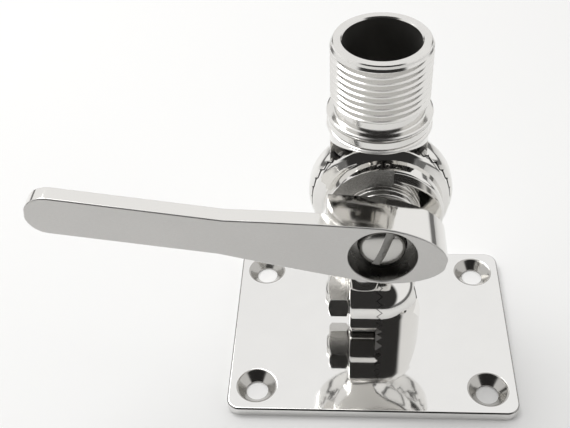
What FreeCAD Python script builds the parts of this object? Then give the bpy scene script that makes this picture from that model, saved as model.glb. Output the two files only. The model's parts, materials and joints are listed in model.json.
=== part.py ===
import FreeCAD, Part

import os
from math import cos, pi, radians, sin, tan

# A lay-down antenna mount: a screwed-down plate with a toothed tilting joint, a
# toothed folding joint above it that a clamping lever locks, and a threaded stub.
# Millimetres. The origin is the middle of the plate's underside, X runs along the
# plate and the tilt bolt, Y runs away from the lever, Z is up.

V = FreeCAD.Vector

# base plate
PLATE_X, PLATE_Y, PLATE_T = 85.0, 64.0, 3.0
PLATE_CORNER_R = 4.0
PLATE_EDGE_R = 0.8
HOLE_PITCH_X, HOLE_PITCH_Y = 68.0, 47.0
HOLE_R = 3.3
SINK_R = 5.8
SINK_RIM_R = 0.5

# tilt joint: its axis runs along X
TILT_Y, TILT_Z = 2.2, 16.0
TILT_R = 12.0
TILT_PARTING_X = 2.2
TILT_TEETH = 30
KNUCKLE_LEFT_X = -6.7
EAR_DOME_X = 3.2
EAR_RIGHT_X = EAR_DOME_X + TILT_R

# fold joint: its axis runs along Y
COLUMN_X = 1.7
FOLD_Z = 55.3
FOLD_PARTING_Y = 2.0
FOLD_TEETH = 36
KNUCKLE_FLANGE_R = 18.7
BARREL_X, BARREL_R = 2.6, 15.9
KNUCKLE_FRONT_Y = -5.3
ROUGH_DEPTH, ROUGH_RIGHT_X = 0.5, 4.6
HEAD_FACE_R = 18.9
HEAD_DISC_R = 19.8
HEAD_BACK_Y = 10.5

# teeth of both joints, cut back to the parting plane so that the joints can turn
TOOTH_DEPTH = 0.75
TOOTH_GAP = 0.12
RING_INNER_SHARE = 0.6

# M8 bolts of both joints
BOLT_R = 4.0
BOLT_HOLE_R = 4.1
HEX_ACROSS = 13.0
HEX_POCKET_ACROSS = 13.4
HEX_HEAD_H = 5.3
NUT_H = 6.2

# head casting and threaded stub, on an upright axis at STUB_X, STUB_Y
STUB_X = 0.7
STUB_Y = 4.5
NECK_R = 12.9
NECK_TOP_Z = 79.6
COLLAR_R = 13.7
COLLAR_H = 4.9
THREAD_R = 12.7
THREAD_PITCH = 25.4 / 14
THREAD_DEPTH = 1.1
THREAD_START_Z = 88.3
THREAD_TURNS = 8
STUB_TOP_Z = 104.8
BORE_R = 9.75
NECK_UNDERCUT_Z = 77.4
NECK_BORE_R, NECK_BORE_DEPTH = 9.3, 0.5

# clamping lever, stacked towards -Y on the fold axis
WASHER_R, WASHER_T = 10.3, 1.2
CLAMP_FLANGE_R = 10.6
LEVER_BACK_Y = -8.8
LEVER_FRONT_Y = -21.0
ARM_T = 4.7
LEVER_RISE_DEG = 9.3
BOSS_R = 10.2
ARM_HALF_W = 6.1
ARM_REACH = 92.2
ARM_TAPER_END = 42.0
HUB_REACH = 16.2
NOSE_REACH = 17.0
NOSE_HALF_W = 4.7
NOSE_R = 5.5
RECESS_R, RECESS_FLOOR_Y = 8.9, -16.2
CHAMBER_R, LEDGE_FRONT_Y, LEDGE_T = 6.5, -12.2, 0.8
SPLINES = 18
SPLINE_TIP_R, SPLINE_ROOT_R = 7.2, 6.5
SPLINE_CLEARANCE = 0.12
CAP_SCREW_R, CAP_SHANK_R, CAP_HOLE_R = 6.2, 2.5, 2.8
CAP_EDGE_Y, CAP_APEX_Y = -17.6, -19.4
SLOT_W, SLOT_DEPTH, SLOT_LEAN_DEG = 2.1, 1.5, 18.0
SPRING_R, SPRING_WIRE, SPRING_TURNS = 4.9, 0.6, 2.5

# small gaps between pieces
SEAT_GAP = 0.05


def mapping(origin, a, b):
    """A function that takes flat coordinates along the vectors a and b to space."""
    return lambda u, v: origin + a * u + b * v


def outline(corners, place):
    """A closed wire through corners (u, v) or (u, v, radius), each rounded by its radius."""
    spans = []
    for i, corner in enumerate(corners):
        point = V(corner[0], corner[1], 0)
        radius = corner[2] if len(corner) == 3 else 0
        back = V(*corners[i - 1][:2], 0) - point
        ahead = V(*corners[(i + 1) % len(corners)][:2], 0) - point
        back.normalize()
        ahead.normalize()
        if radius == 0:
            spans.append((point, None, point))
            continue
        half = back.getAngle(ahead) / 2
        middle = (back + ahead).normalize()
        spans.append(
            (
                point + back * (radius / tan(half)),
                point + middle * (radius / sin(half) - radius),
                point + ahead * (radius / tan(half)),
            )
        )
    edges = []
    for i, (start, middle, end) in enumerate(spans):
        if middle is not None:
            edges.append(Part.Arc(*[place(p.x, p.y) for p in (start, middle, end)]).toShape())
        following = spans[(i + 1) % len(spans)][0]
        if end.distanceToPoint(following) > 1e-6:
            edges.append(Part.makeLine(place(end.x, end.y), place(following.x, following.y)))
    return Part.Wire(edges)


def extruded(corners, place, along):
    """The solid that an outline sweeps along a vector."""
    return Part.Face(outline(corners, place)).extrude(along)


def turned(corners, centre, axis, radial):
    """A solid of revolution from corners (distance along the axis, radius)."""
    face = Part.Face(outline(corners, mapping(centre, axis, radial)))
    return face.revolve(centre, axis, 360)


def turned_on_x(corners):
    """A solid turned on the tilt axis, its corners as (x, radius)."""
    return turned(corners, V(0, TILT_Y, TILT_Z), V(1, 0, 0), V(0, 0, 1))


def turned_on_y(corners):
    """A solid turned on the fold axis, its corners as (y, radius)."""
    return turned(corners, V(COLUMN_X, 0, FOLD_Z), V(0, 1, 0), V(0, 0, 1))


def turned_on_z(corners):
    """A solid turned on the stub's axis, its corners as (z, radius)."""
    return turned(corners, V(STUB_X, STUB_Y, 0), V(0, 0, 1), V(1, 0, 0))


def rod_x(radius, x0, x1):
    """A cylinder on the tilt axis."""
    return turned_on_x([(x0, 0), (x0, radius), (x1, radius), (x1, 0)])


def rod_y(radius, y0, y1):
    """A cylinder on the fold axis."""
    return turned_on_y([(y0, 0), (y0, radius), (y1, radius), (y1, 0)])


def hexagon(across, place, along, turn_deg=0.0):
    """A hexagonal prism, given across its flats."""
    corner_r = across / 2 / cos(pi / 6)
    angles = [radians(60 * i + turn_deg) for i in range(6)]
    return extruded([(corner_r * cos(t), corner_r * sin(t)) for t in angles], place, along)


def solid_from_faces(loops):
    """A closed solid from flat loops of points."""
    faces = [Part.Face(Part.makePolygon(loop + loop[:1])) for loop in loops]
    solid = Part.Solid(Part.Shell(faces))
    if solid.Volume < 0:
        solid.reverse()
    return solid


def tooth_gaps(teeth, ring_r, centre, a, b, inward, turn_pitches):
    """V-shaped radial gaps for a toothed face at centre, cut along the vector inward."""
    inner, outer = 0.3, 1.15
    half_w = pi * ring_r / teeth / 2
    above = 0.6 * TOOTH_DEPTH
    section = [
        (-half_w * (1 + above / TOOTH_DEPTH), -above),
        (half_w * (1 + above / TOOTH_DEPTH), -above),
        (0, TOOTH_DEPTH),
    ]
    gaps = []
    for i in range(teeth):
        t = 2 * pi * (i + turn_pitches) / teeth
        radial = a * cos(t) + b * sin(t)
        tangent = b * cos(t) - a * sin(t)
        near, far = [
            [
                centre + radial * (ring_r * share) + (tangent * w + inward * d) * share
                for w, d in section
            ]
            for share in (inner, outer)
        ]
        sides = [[near[k], near[(k + 1) % 3], far[(k + 1) % 3], far[k]] for k in range(3)]
        gaps.append(solid_from_faces([near, far] + sides))
    return gaps


def toothed_x(solid, side):
    """Cut the tilt joint's teeth into a solid that lies to the side (-1 or 1) of the parting plane."""
    face_x = TILT_PARTING_X + side * TOOTH_GAP / 2
    centre = V(face_x, TILT_Y, TILT_Z)
    inner_r = RING_INNER_SHARE * TILT_R
    inward = V(side, 0, 0)
    turn = 0 if side < 0 else 0.5
    solid = solid.cut(tooth_gaps(TILT_TEETH, TILT_R, centre, V(0, 1, 0), V(0, 0, 1), inward, turn))
    edges_x = sorted([face_x - side, face_x + side * TOOTH_DEPTH])
    return solid.cut(rod_x(inner_r, *edges_x))


def toothed_y(solid, side):
    """Cut the fold joint's teeth into a solid that lies to the side (-1 or 1) of the parting plane."""
    face_y = FOLD_PARTING_Y + side * TOOTH_GAP / 2
    centre = V(COLUMN_X, face_y, FOLD_Z)
    inner_r = RING_INNER_SHARE * KNUCKLE_FLANGE_R
    inward = V(0, side, 0)
    turn = 0.5 if side < 0 else 0
    gaps = tooth_gaps(FOLD_TEETH, HEAD_FACE_R, centre, V(0, 0, 1), V(1, 0, 0), inward, turn)
    edges_y = sorted([face_y - side, face_y + side * TOOTH_DEPTH])
    return solid.cut(gaps).cut(rod_y(inner_r, *edges_y))


def base_plate():
    """The screwed-down plate with four countersunk holes."""
    half_x, half_y = PLATE_X / 2, PLATE_Y / 2
    corners = [(sx * half_x, sy * half_y, PLATE_CORNER_R)
               for sx, sy in ((-1, -1), (1, -1), (1, 1), (-1, 1))]
    flat = mapping(V(0, 0, 0), V(1, 0, 0), V(0, 1, 0))
    plate = extruded(corners, flat, V(0, 0, PLATE_T))
    top_edges = [e for e in plate.Edges if e.BoundBox.ZMin > PLATE_T - 1e-6]
    plate = plate.makeFillet(PLATE_EDGE_R, top_edges)
    sink_depth = SINK_R - HOLE_R
    for sx in (-1, 1):
        for sy in (-1, 1):
            centre = V(sx * HOLE_PITCH_X / 2, sy * HOLE_PITCH_Y / 2, 0)
            hole = [
                (-1, 0),
                (-1, HOLE_R),
                (PLATE_T - sink_depth, HOLE_R),
                (PLATE_T, SINK_R, SINK_RIM_R),
                (PLATE_T, SINK_R + 2),
                (PLATE_T + 1, SINK_R + 2),
                (PLATE_T + 1, 0),
            ]
            plate = plate.cut(turned(hole, centre, V(0, 0, 1), V(1, 0, 0)))
    return plate


def base_ear():
    """The half-round ear that is welded to the plate and holds the tilt bolt's head."""
    face_x = TILT_PARTING_X + TOOTH_GAP / 2
    dome = turned_on_x([(face_x, 0), (face_x, TILT_R), (EAR_RIGHT_X, TILT_R, TILT_R), (EAR_RIGHT_X, 0)])
    front_y, back_y = TILT_Y - TILT_R, TILT_Y + TILT_R
    foot = [
        (face_x, front_y),
        (EAR_RIGHT_X, front_y, TILT_R),
        (EAR_RIGHT_X, back_y, TILT_R),
        (face_x, back_y),
    ]
    plan = mapping(V(0, 0, PLATE_T), V(1, 0, 0), V(0, 1, 0))
    ear = dome.fuse(extruded(foot, plan, V(0, 0, TILT_Z - PLATE_T))).removeSplitter()
    pocket_at = V(ear_pocket_x(), TILT_Y, TILT_Z)
    pocket = hexagon(HEX_POCKET_ACROSS, mapping(pocket_at, V(0, 1, 0), V(0, 0, 1)), V(20, 0, 0))
    ear = ear.cut(pocket).cut(rod_x(BOLT_HOLE_R, 0, 20))
    return toothed_x(ear, 1)


def ear_pocket_x():
    """Where the floor of the ear's hexagonal pocket lies."""
    return EAR_RIGHT_X - 2.6 - HEX_HEAD_H


def tilt_bolt():
    """The hex-head bolt through ear and knuckle."""
    head_x = ear_pocket_x() + SEAT_GAP
    seat = mapping(V(head_x, TILT_Y, TILT_Z), V(0, 1, 0), V(0, 0, 1))
    head = hexagon(HEX_ACROSS, seat, V(HEX_HEAD_H, 0, 0))
    crown = turned_on_x([(head_x, 0), (head_x, 9), (head_x + 4, 9), (head_x + HEX_HEAD_H, 6.4),
                         (head_x + HEX_HEAD_H, 0)])
    end_x = KNUCKLE_LEFT_X - SEAT_GAP - NUT_H - 0.8
    shank = turned_on_x([(end_x, 0), (end_x, 3.2), (end_x + 0.8, BOLT_R), (head_x + 1, BOLT_R),
                         (head_x + 1, 0)])
    return head.common(crown).fuse(shank).removeSplitter()


def tilt_nut():
    """The hex nut on the left end of the tilt bolt, its flats to front and back."""
    right_x = KNUCKLE_LEFT_X - SEAT_GAP
    seat = mapping(V(right_x - NUT_H, TILT_Y, TILT_Z), V(0, 1, 0), V(0, 0, 1))
    nut = hexagon(HEX_ACROSS, seat, V(NUT_H, 0, 0), 30)
    left_x = right_x - NUT_H
    rounded = turned_on_x([(left_x, 0), (left_x, 6.3), (left_x + 0.8, 7.6), (right_x - 0.8, 7.6),
                           (right_x, 6.3), (right_x, 0)])
    return nut.common(rounded).cut(rod_x(BOLT_R + 0.03, left_x - 1, right_x + 1))


def rough_step():
    """The shallow step round the left of the barrel's front, which is left as cast."""
    step_y = KNUCKLE_FRONT_Y + ROUGH_DEPTH
    ring = turned_on_y([(KNUCKLE_FRONT_Y - 1, CLAMP_FLANGE_R), (KNUCKLE_FRONT_Y - 1, 20),
                        (step_y, 20), (step_y, CLAMP_FLANGE_R)])
    right = Part.makeBox(30, 10, 60, V(ROUGH_RIGHT_X, step_y - 6, FOLD_Z - 30))
    below = Part.makeBox(60, 10, 30, V(COLUMN_X - 30, step_y - 6, FOLD_Z - 34))
    return ring.cut(right).cut(below)


def knuckle():
    """The casting between the two joints, a disc across the other at each end."""
    face_x = TILT_PARTING_X - TOOTH_GAP / 2
    face_y = FOLD_PARTING_Y - TOOTH_GAP / 2
    lower = turned_on_x([(KNUCKLE_LEFT_X, 0), (KNUCKLE_LEFT_X, TILT_R, 1.0), (face_x, TILT_R),
                         (face_x, 0)])
    flange = turned_on_y([
        (face_y - 3.2, 0),
        (face_y - 3.2, BARREL_R),
        (face_y - 1.2, KNUCKLE_FLANGE_R, 0.6),
        (face_y, KNUCKLE_FLANGE_R),
        (face_y, 0),
    ])
    barrel = turned([
        (KNUCKLE_FRONT_Y, 0),
        (KNUCKLE_FRONT_Y, BARREL_R - 0.6),
        (KNUCKLE_FRONT_Y + 0.6, BARREL_R),
        (face_y - 2.2, BARREL_R),
        (face_y - 2.2, 0),
    ], V(BARREL_X, 0, FOLD_Z), V(0, 1, 0), V(0, 0, 1))
    sections = [
        (18.0, KNUCKLE_LEFT_X + 0.01, face_x - 0.01, -6.5, 10.5, 2.0),
        (26.0, KNUCKLE_LEFT_X - 0.3, face_x - 0.01, -6.0, 7.0, 2.0),
        (33.0, -9.0, 5.5, KNUCKLE_FRONT_Y + 0.1, 2.4, 2.0),
        (41.0, -12.0, 15.4, KNUCKLE_FRONT_Y + 0.4, face_y - 0.05, 2.0),
    ]
    wires = []
    for z, x0, x1, y0, y1, r in sections:
        level = mapping(V(0, 0, z), V(1, 0, 0), V(0, 1, 0))
        wires.append(outline([(x0, y0, r), (x1, y0, r), (x1, y1, r), (x0, y1, r)], level))
    neck = Part.makeLoft(wires, True, False)
    swept = rod_x(TILT_R + 0.4, face_x, 30)
    neck = neck.cut(swept).cut(rod_y(HEAD_DISC_R + 0.5, face_y, 30))
    neck = neck.cut(rod_y(BARREL_R - 3, KNUCKLE_FRONT_Y - 5, KNUCKLE_FRONT_Y + 0.5))
    body = lower.fuse([flange, barrel, neck]).removeSplitter().cut(rough_step())
    body = body.cut(rod_x(BOLT_HOLE_R, -20, 20)).cut(rod_y(BOLT_HOLE_R, -20, 20))
    return toothed_y(toothed_x(body, -1), -1)


def head_casting():
    """The casting that folds: a toothed disc with a round neck above it."""
    face_y = FOLD_PARTING_Y + TOOTH_GAP / 2
    disc = turned_on_y([(face_y, 0), (face_y, HEAD_FACE_R), (face_y + 1.6, HEAD_DISC_R, 1.5),
                        (HEAD_BACK_Y, HEAD_DISC_R, 3.6), (HEAD_BACK_Y, 0)])
    neck = turned_on_z([(FOLD_Z, 0), (FOLD_Z, NECK_R), (NECK_TOP_Z, NECK_R), (NECK_TOP_Z, 0)])
    behind = turned_on_y([(HEAD_BACK_Y, 0), (HEAD_BACK_Y, 13), (HEAD_BACK_Y + 5, 18.5),
                          (HEAD_BACK_Y + 20, 20.5), (HEAD_BACK_Y + 20, 0)])
    in_front = Part.makeBox(60, 30, NECK_UNDERCUT_Z, V(COLUMN_X - 30, face_y - 30, 0))
    neck = neck.cut(behind).cut(in_front)
    body = disc.fuse(neck).removeSplitter()
    pocket_at = V(COLUMN_X, HEAD_BACK_Y - HEX_HEAD_H, FOLD_Z)
    pocket = hexagon(HEX_POCKET_ACROSS, mapping(pocket_at, V(0, 0, 1), V(1, 0, 0)), V(0, 20, 0))
    floor_z = NECK_TOP_Z - NECK_BORE_DEPTH
    bore = turned_on_z([(floor_z, 0), (floor_z, NECK_BORE_R, 1), (NECK_TOP_Z + 1, NECK_BORE_R),
                        (NECK_TOP_Z + 1, 0)])
    body = body.cut(pocket).cut(rod_y(BOLT_HOLE_R, -20, 20)).cut(bore)
    return toothed_y(body, 1)


def mast_stub():
    """The machined tube above the neck: a beaded collar and a parallel thread."""
    band_r = COLLAR_R - 0.35
    z = NECK_TOP_Z
    corners = [
        (z, BORE_R),
        (z, COLLAR_R, 0.5),
        (z + 1.1, COLLAR_R, 0.5),
        (z + 1.3, band_r - 0.3),
        (z + 1.7, band_r - 0.3),
        (z + 1.9, band_r),
        (z + 3.6, band_r),
        (z + 3.8, COLLAR_R, 0.5),
        (z + COLLAR_H, COLLAR_R, 0.5),
        (z + COLLAR_H, THREAD_R - THREAD_DEPTH, 0.4),
    ]
    root_r = THREAD_R - THREAD_DEPTH
    crest = THREAD_PITCH / 8
    for i in range(THREAD_TURNS):
        turn_z = THREAD_START_Z + i * THREAD_PITCH
        corners += [
            (turn_z, root_r),
            (turn_z + THREAD_PITCH / 2 - crest / 2, THREAD_R),
            (turn_z + THREAD_PITCH / 2 + crest / 2, THREAD_R),
        ]
    end_z = THREAD_START_Z + THREAD_TURNS * THREAD_PITCH
    corners += [
        (end_z, root_r),
        (end_z + 0.7, THREAD_R - 0.5),
        (STUB_TOP_Z - 0.6, THREAD_R - 0.5),
        (STUB_TOP_Z, THREAD_R - 1.1),
        (STUB_TOP_Z, BORE_R + 0.4),
        (STUB_TOP_Z - 0.4, BORE_R),
    ]
    return turned_on_z(corners)


def fold_stud():
    """The hex-head bolt that the lever pulls on, its head sunk in the head casting."""
    head_y = HEAD_BACK_Y - HEX_HEAD_H + SEAT_GAP
    end_y = LEVER_BACK_Y - 1.2
    seat = mapping(V(COLUMN_X, head_y, FOLD_Z), V(0, 0, 1), V(1, 0, 0))
    head = hexagon(HEX_ACROSS, seat, V(0, HEX_HEAD_H, 0))
    crown = turned_on_y([(head_y, 0), (head_y, 9), (head_y + 4, 9), (head_y + HEX_HEAD_H, 6.4),
                         (head_y + HEX_HEAD_H, 0)])
    shank = turned_on_y([(end_y, 0), (end_y, 3.2), (end_y + 0.8, BOLT_R), (head_y + 1, BOLT_R),
                         (head_y + 1, 0)])
    return head.common(crown).fuse(shank).removeSplitter()


def washer_front_y():
    """Where the thrust washer's front face lies."""
    return KNUCKLE_FRONT_Y - SEAT_GAP - WASHER_T


def thrust_washer():
    """The loose washer that the clamping nut turns against."""
    back_y = KNUCKLE_FRONT_Y - SEAT_GAP
    ring = turned_on_y([(washer_front_y(), BOLT_HOLE_R + 0.1), (washer_front_y(), WASHER_R, 0.4),
                        (back_y, WASHER_R), (back_y, BOLT_HOLE_R + 0.1)])
    return ring


def star(clearance, y0, y1):
    """A splined bar on the fold axis."""
    place = mapping(V(COLUMN_X, y0, FOLD_Z), V(0, 0, 1), V(1, 0, 0))
    corners = []
    for i in range(2 * SPLINES):
        r = (SPLINE_ROOT_R if i % 2 else SPLINE_TIP_R) + clearance
        t = pi * i / SPLINES
        corners.append((r * cos(t), r * sin(t)))
    return extruded(corners, place, V(0, y1 - y0, 0))


def clamp_nut():
    """The flanged nut inside the lever, splined outside and tapped from both ends."""
    back_y = washer_front_y() - SEAT_GAP
    flange_y = LEVER_BACK_Y + SEAT_GAP
    end_y = LEVER_BACK_Y - 2.2
    flange = turned_on_y([(flange_y, 0), (flange_y, CLAMP_FLANGE_R, 0.5), (back_y, CLAMP_FLANGE_R, 0.5),
                          (back_y, 0)])
    nut = flange.fuse(star(0, end_y, flange_y + 0.5)).removeSplitter()
    nut = nut.cut(rod_y(BOLT_R + 0.03, LEVER_BACK_Y - 1.6, back_y + 1))
    return nut.cut(rod_y(CAP_SHANK_R + 0.02, end_y - 1, back_y))


def lever_outline():
    """The lever seen from the front: u towards the tip, v across, from the fold axis."""
    side = [
        (ARM_REACH, ARM_HALF_W, ARM_HALF_W - 0.1),
        (ARM_TAPER_END, ARM_HALF_W, 80),
        (1.5, BOSS_R, 14),
        (-NOSE_REACH, NOSE_HALF_W, NOSE_R),
    ]
    return side + [(u, -v, r) for u, v, r in reversed(side)]


def lever_handle():
    """The cast clamping lever, with its recess, spring chamber and splined bore."""
    t = radians(LEVER_RISE_DEG)
    towards_tip = V(-cos(t), 0, sin(t))
    across = V(sin(t), 0, cos(t))
    place = mapping(V(COLUMN_X, LEVER_FRONT_Y, FOLD_Z), towards_tip, across)
    lever = extruded(lever_outline(), place, V(0, LEVER_BACK_Y - LEVER_FRONT_Y, 0))
    front = [e for e in lever.Edges if e.BoundBox.YMax < LEVER_FRONT_Y + 1e-6]
    lever = lever.makeFillet(0.5, front)
    behind_arm = mapping(V(COLUMN_X, LEVER_FRONT_Y + ARM_T, FOLD_Z), towards_tip, across)
    corners = [(HUB_REACH, -20), (ARM_REACH + 5, -20), (ARM_REACH + 5, 20), (HUB_REACH, 20)]
    lever = lever.cut(extruded(corners, behind_arm, V(0, 20, 0)))
    ledge_back_y = LEDGE_FRONT_Y + LEDGE_T
    lever = lever.cut(rod_y(RECESS_R, LEVER_FRONT_Y - 1, RECESS_FLOOR_Y))
    lever = lever.cut(rod_y(CHAMBER_R, RECESS_FLOOR_Y - 1, LEDGE_FRONT_Y))
    lever = lever.cut(rod_y(CAP_HOLE_R, LEDGE_FRONT_Y - 1, ledge_back_y + 1))
    return lever.cut(star(SPLINE_CLEARANCE, ledge_back_y, LEVER_BACK_Y + 1))


def lever_screw():
    """The slotted screw whose wide head holds the spring in the lever."""
    under_y = RECESS_FLOOR_Y
    end_y = LEVER_BACK_Y - 1.7
    screw = turned_on_y([
        (CAP_APEX_Y, 0),
        (CAP_APEX_Y, CAP_SCREW_R * 0.7, 4.5),
        (CAP_EDGE_Y, CAP_SCREW_R),
        (under_y, CAP_SCREW_R),
        (under_y, CAP_SHANK_R),
        (end_y, CAP_SHANK_R),
        (end_y, 0),
    ])
    lean = radians(90 - SLOT_LEAN_DEG)
    along = V(cos(lean), 0, sin(lean))
    place = mapping(V(COLUMN_X, CAP_APEX_Y - 1, FOLD_Z), along, V(sin(lean), 0, -cos(lean)))
    corners = [(-8, -SLOT_W / 2), (8, -SLOT_W / 2), (8, SLOT_W / 2), (-8, SLOT_W / 2)]
    return screw.cut(extruded(corners, place, V(0, 1 + SLOT_DEPTH, 0)))


def lever_spring():
    """The square-wire spring that pushes the lever back on to the nut's splines."""
    half = SPRING_WIRE / 2
    height = LEDGE_FRONT_Y - RECESS_FLOOR_Y - SPRING_WIRE - 2 * SEAT_GAP
    helix = Part.makeHelix(height / SPRING_TURNS, height, SPRING_R)
    beside = mapping(V(SPRING_R, 0, 0), V(1, 0, 0), V(0, 0, 1))
    section = outline([(-half, -half), (half, -half), (half, half), (-half, half)], beside)
    coil = Part.Wire(helix.Edges).makePipeShell([section], True, True)
    coil.rotate(V(0, 0, 0), V(1, 0, 0), -90)
    coil.translate(V(COLUMN_X, RECESS_FLOOR_Y + half + SEAT_GAP, FOLD_Z))
    return coil


PIECES = [
    base_plate,
    base_ear,
    tilt_bolt,
    tilt_nut,
    knuckle,
    head_casting,
    mast_stub,
    fold_stud,
    thrust_washer,
    clamp_nut,
    lever_handle,
    lever_screw,
    lever_spring,
]

os.makedirs("parts", exist_ok=True)
for piece in PIECES:
    shape = piece()
    print(f"{piece.__name__:14s} valid {shape.isValid()} solids {len(shape.Solids)} "
          f"volume {shape.Volume:9.1f} mm3")
    shape.exportStep(f"parts/{piece.__name__}.step")
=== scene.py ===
import json
from math import cos, hypot, pi, radians, sin, sqrt

import bpy
from mathutils import Euler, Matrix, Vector


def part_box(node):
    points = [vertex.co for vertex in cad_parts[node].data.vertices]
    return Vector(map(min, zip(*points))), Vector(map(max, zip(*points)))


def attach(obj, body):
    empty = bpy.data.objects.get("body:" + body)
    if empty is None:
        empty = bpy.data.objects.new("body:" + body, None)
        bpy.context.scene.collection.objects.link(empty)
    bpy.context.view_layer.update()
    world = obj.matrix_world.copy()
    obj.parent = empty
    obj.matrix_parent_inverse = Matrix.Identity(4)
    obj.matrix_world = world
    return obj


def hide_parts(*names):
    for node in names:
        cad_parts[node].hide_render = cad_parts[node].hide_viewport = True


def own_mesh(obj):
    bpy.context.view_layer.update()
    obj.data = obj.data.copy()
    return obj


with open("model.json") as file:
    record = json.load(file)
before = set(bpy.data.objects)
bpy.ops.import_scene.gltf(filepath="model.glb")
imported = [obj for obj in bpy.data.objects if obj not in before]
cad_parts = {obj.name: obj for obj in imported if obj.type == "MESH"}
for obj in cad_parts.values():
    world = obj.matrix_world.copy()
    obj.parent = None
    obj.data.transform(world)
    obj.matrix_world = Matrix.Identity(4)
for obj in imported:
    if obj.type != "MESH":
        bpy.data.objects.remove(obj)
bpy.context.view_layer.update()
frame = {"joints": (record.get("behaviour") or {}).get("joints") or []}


# ---- Camera --------------------------------------------------------------------------
# The mount is seen from the lever's side and well above, a little to the left of its
# middle line, from about 0.3 m: close enough for the plate to narrow towards the back.

CAMERA_PLACE = (-0.00797, -0.18227, 0.22192)
CAMERA_DOWN_DEG, CAMERA_LEFT_DEG, CAMERA_ROLL_DEG = 43.06, 5.27, 3.32
CAMERA_LENS = 56.6

camera_data = bpy.data.cameras.new("studio_camera")
camera_data.lens = CAMERA_LENS
camera_data.sensor_width = 36.0
camera = bpy.data.objects.new("studio_camera", camera_data)
bpy.context.scene.collection.objects.link(camera)
camera.location = CAMERA_PLACE
look = Euler((0, 0, radians(CAMERA_LEFT_DEG))).to_matrix()
look = look @ Euler((radians(90 - CAMERA_DOWN_DEG), 0, 0)).to_matrix()
look = look @ Euler((0, 0, radians(-CAMERA_ROLL_DEG))).to_matrix()
camera.rotation_euler = look.to_euler()
bpy.context.scene.camera = camera
bpy.context.scene.view_settings.view_transform = "Standard"


# ---- Floor and light -----------------------------------------------------------------
# A white sheet under the mount and a white tent round it, as polished steel is lit. The
# tent has one dark opening high on the lever's side and a dark gap low all round, which
# give the steel its blacks.

FLOOR_COLOUR = (0.93, 0.93, 0.925, 1)
TENT_WHITE, TENT_BLACK = (1.0, 0.995, 0.985, 1), (0.035, 0.034, 0.033, 1)
TENT_STRENGTH = 0.95
OPENING_DIRECTION = (0.0, -0.80, 0.60)
OPENING_COS_INNER, OPENING_COS_OUTER = 0.78, 0.66
GAP_TOP, GAP_FADE, GAP_DARKNESS = 0.10, 0.16, 0.85


class Wire:
    """A shader socket: arithmetic on it adds Math nodes, and node() adds any other node."""

    def __init__(self, tree, socket=None):
        self.tree, self.socket = tree, socket

    def node(self, kind, settings, sockets, out=0):
        made = self.tree.nodes.new(kind)
        for key, value in settings.items():
            setattr(made, key, value)
        for key, value in sockets.items():
            if isinstance(value, Wire):
                self.tree.links.new(value.socket, made.inputs[key])
            else:
                made.inputs[key].default_value = value
        return Wire(self.tree, made.outputs[out])

    def math(self, operation, *values):
        return self.node("ShaderNodeMath", {"operation": operation}, dict(enumerate(values)))

    def __add__(self, other):
        return self.math("ADD", self, other)

    def __mul__(self, other):
        return self.math("MULTIPLY", self, other)

    __radd__, __rmul__ = __add__, __mul__

    def ramp(self, low, high, at_low=0.0, at_high=1.0, interpolation="LINEAR"):
        """This value spread from at_low to at_high between low and high."""
        return self.node("ShaderNodeMapRange", {"interpolation_type": interpolation},
                         {"Value": self, "From Min": low, "From Max": high,
                          "To Min": at_low, "To Max": at_high})

    def mix(self, colour, other):
        """From one colour to the other as this value goes from 0 to 1."""
        return self.node("ShaderNodeMix", {"data_type": "RGBA"}, {0: self, 6: colour, 7: other}, 2)

    def noise(self, scale, detail, **more):
        """Noise laid out on this position."""
        return self.node("ShaderNodeTexNoise", {},
                         {"Vector": self, "Scale": scale, "Detail": detail, **more})

    def stretched(self, scale, rotation=(0, 0, 0)):
        """This position turned and stretched, for a pattern with a direction."""
        return self.node("ShaderNodeMapping", {"vector_type": "POINT"},
                         {"Vector": self, "Rotation": rotation, "Scale": scale})

    def bump(self, strength, distance, **under):
        """This value as relief, distance in metres."""
        return self.node("ShaderNodeBump", {},
                         {"Strength": strength, "Distance": distance, "Height": self, **under})


def fresh_material(name):
    """A new material whose tree holds only its output, as (material, Wire, output node)."""
    material = bpy.data.materials.new(name)
    material.use_nodes = True
    tree = material.node_tree
    tree.nodes.clear()
    return material, Wire(tree), tree.nodes.new("ShaderNodeOutputMaterial")


def surface(wire, output, sockets):
    """Close a material with one shader, given the values or links of its sockets."""
    shader = wire.node("ShaderNodeBsdfPrincipled", {}, sockets)
    wire.tree.links.new(shader.socket, output.inputs["Surface"])


white_sheet, wire, output = fresh_material("white_sheet")
paper = wire.node("ShaderNodeTexNoise", {}, {"Scale": 900.0, "Detail": 3.0})
surface(wire, output, {"Base Color": FLOOR_COLOUR, "Roughness": 0.8, "Normal": paper.bump(0.05, 0.0002)})
bpy.ops.mesh.primitive_plane_add(size=6.0, location=(0, 0, 0))
floor = bpy.context.object
floor.name = "floor"
floor.data.materials.append(white_sheet)

world = bpy.data.worlds.new("tent")
bpy.context.scene.world = world
world.use_nodes = True
world.node_tree.nodes.clear()
wire = Wire(world.node_tree)
direction = wire.node("ShaderNodeTexCoord", {}, {}, "Generated")
towards_opening = wire.node("ShaderNodeVectorMath", {"operation": "DOT_PRODUCT"},
                            {0: direction, 1: OPENING_DIRECTION}, "Value")
opening = towards_opening.ramp(OPENING_COS_OUTER, OPENING_COS_INNER, 0.0, 1.0, "SMOOTHSTEP")
above = wire.node("ShaderNodeSeparateXYZ", {}, {"Vector": direction}, "Z")
gap = above.ramp(GAP_TOP, GAP_FADE, GAP_DARKNESS, 0.0, "SMOOTHSTEP")
tent = wire.math("MAXIMUM", opening, gap).mix(TENT_WHITE, TENT_BLACK)
background = wire.node("ShaderNodeBackground", {}, {"Color": tent, "Strength": TENT_STRENGTH})
world_output = world.node_tree.nodes.new("ShaderNodeOutputWorld")
world.node_tree.links.new(background.socket, world_output.inputs["Surface"])

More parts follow.
